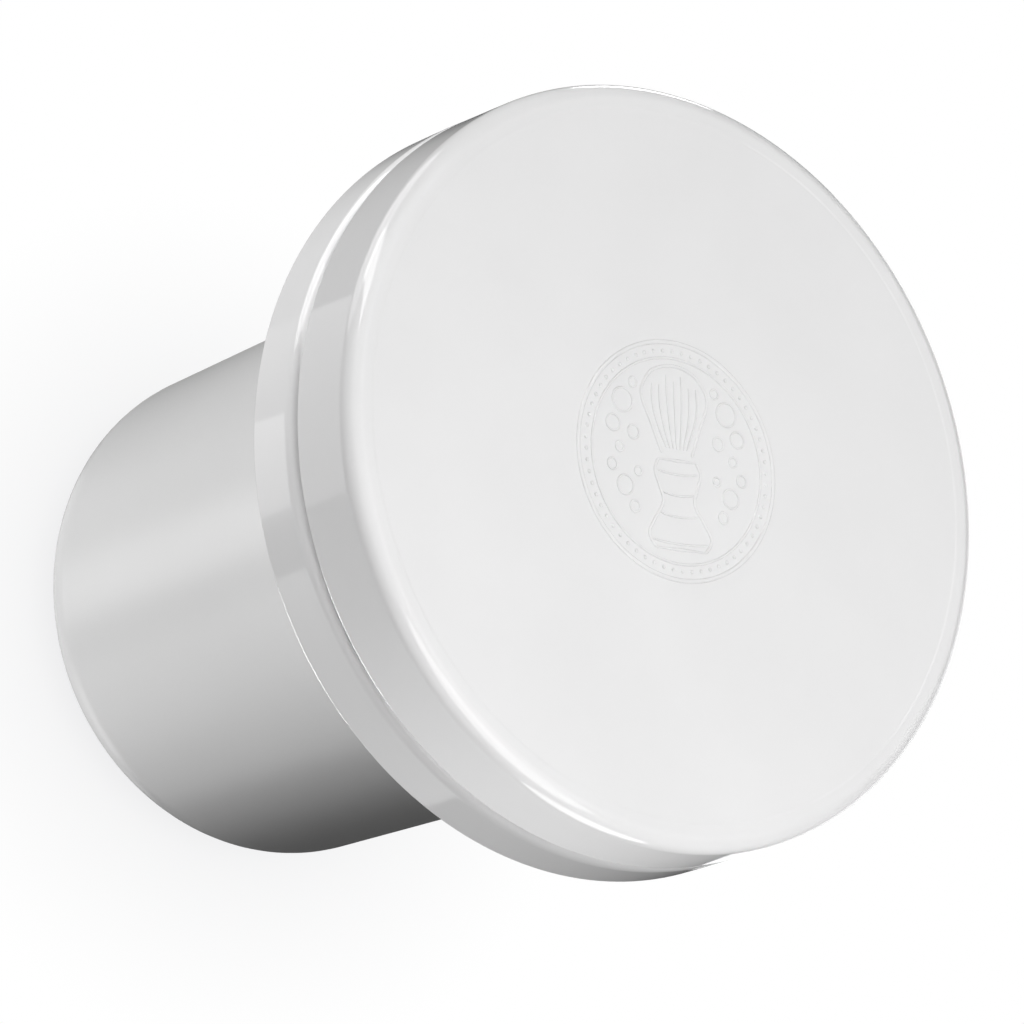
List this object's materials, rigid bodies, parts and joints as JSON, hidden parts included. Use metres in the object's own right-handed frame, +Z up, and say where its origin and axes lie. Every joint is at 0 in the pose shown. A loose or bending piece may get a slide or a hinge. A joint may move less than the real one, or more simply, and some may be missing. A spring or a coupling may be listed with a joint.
{
  "type": "shaving soap refill jar",
  "caption": "Closed white refill jar of shaving soap: a deep round cup hanging from a wide collar, with a flat screw lid over a foil seal and a poured soap puck.",
  "frame": {"origin": "centre of the base, on the plane of the foot ring", "axes": "+Z up along the jar's axis towards the lid; +X towards the top of the emblem on the lid"},
  "size_m": [0.0804, 0.0804, 0.0818],
  "materials": {
    "cup_plastic": "satin moulded polypropylene, cool white",
    "collar_plastic": "polished moulded plastic, cool white",
    "soap": "poured hard soap, cream white, waxy",
    "foil": "thin sealing foil",
    "liner_foam": "fine closed-cell foam",
    "insert_plastic": "natural moulded polypropylene",
    "lid_plastic": "polished moulded plastic, cool white"
  },
  "bodies": {
    "jar": {"cup": "cup_plastic", "collar": "collar_plastic", "soap_puck": "soap", "mouth_seal": "foil"},
    "liner": {"lid_liner": "liner_foam"},
    "lid": {"lid_insert": "insert_plastic", "lid_shell": "lid_plastic"}
  },
  "joints": [
    {"name": "lid_rise", "type": "slide", "parent": "jar", "child": "liner", "axis": [0, 0, 1], "range_m": [0, 0.005]},
    {"name": "lid_turn", "type": "hinge", "parent": "liner", "child": "lid", "pos_m": [0, 0, 0.0775], "axis": [0, 0, 1], "range_deg": [0, 300]}
  ],
  "couplings": [
    {"joint": "lid_rise", "follows": "lid_turn", "m_per_rad": 0.00095492}
  ]
}
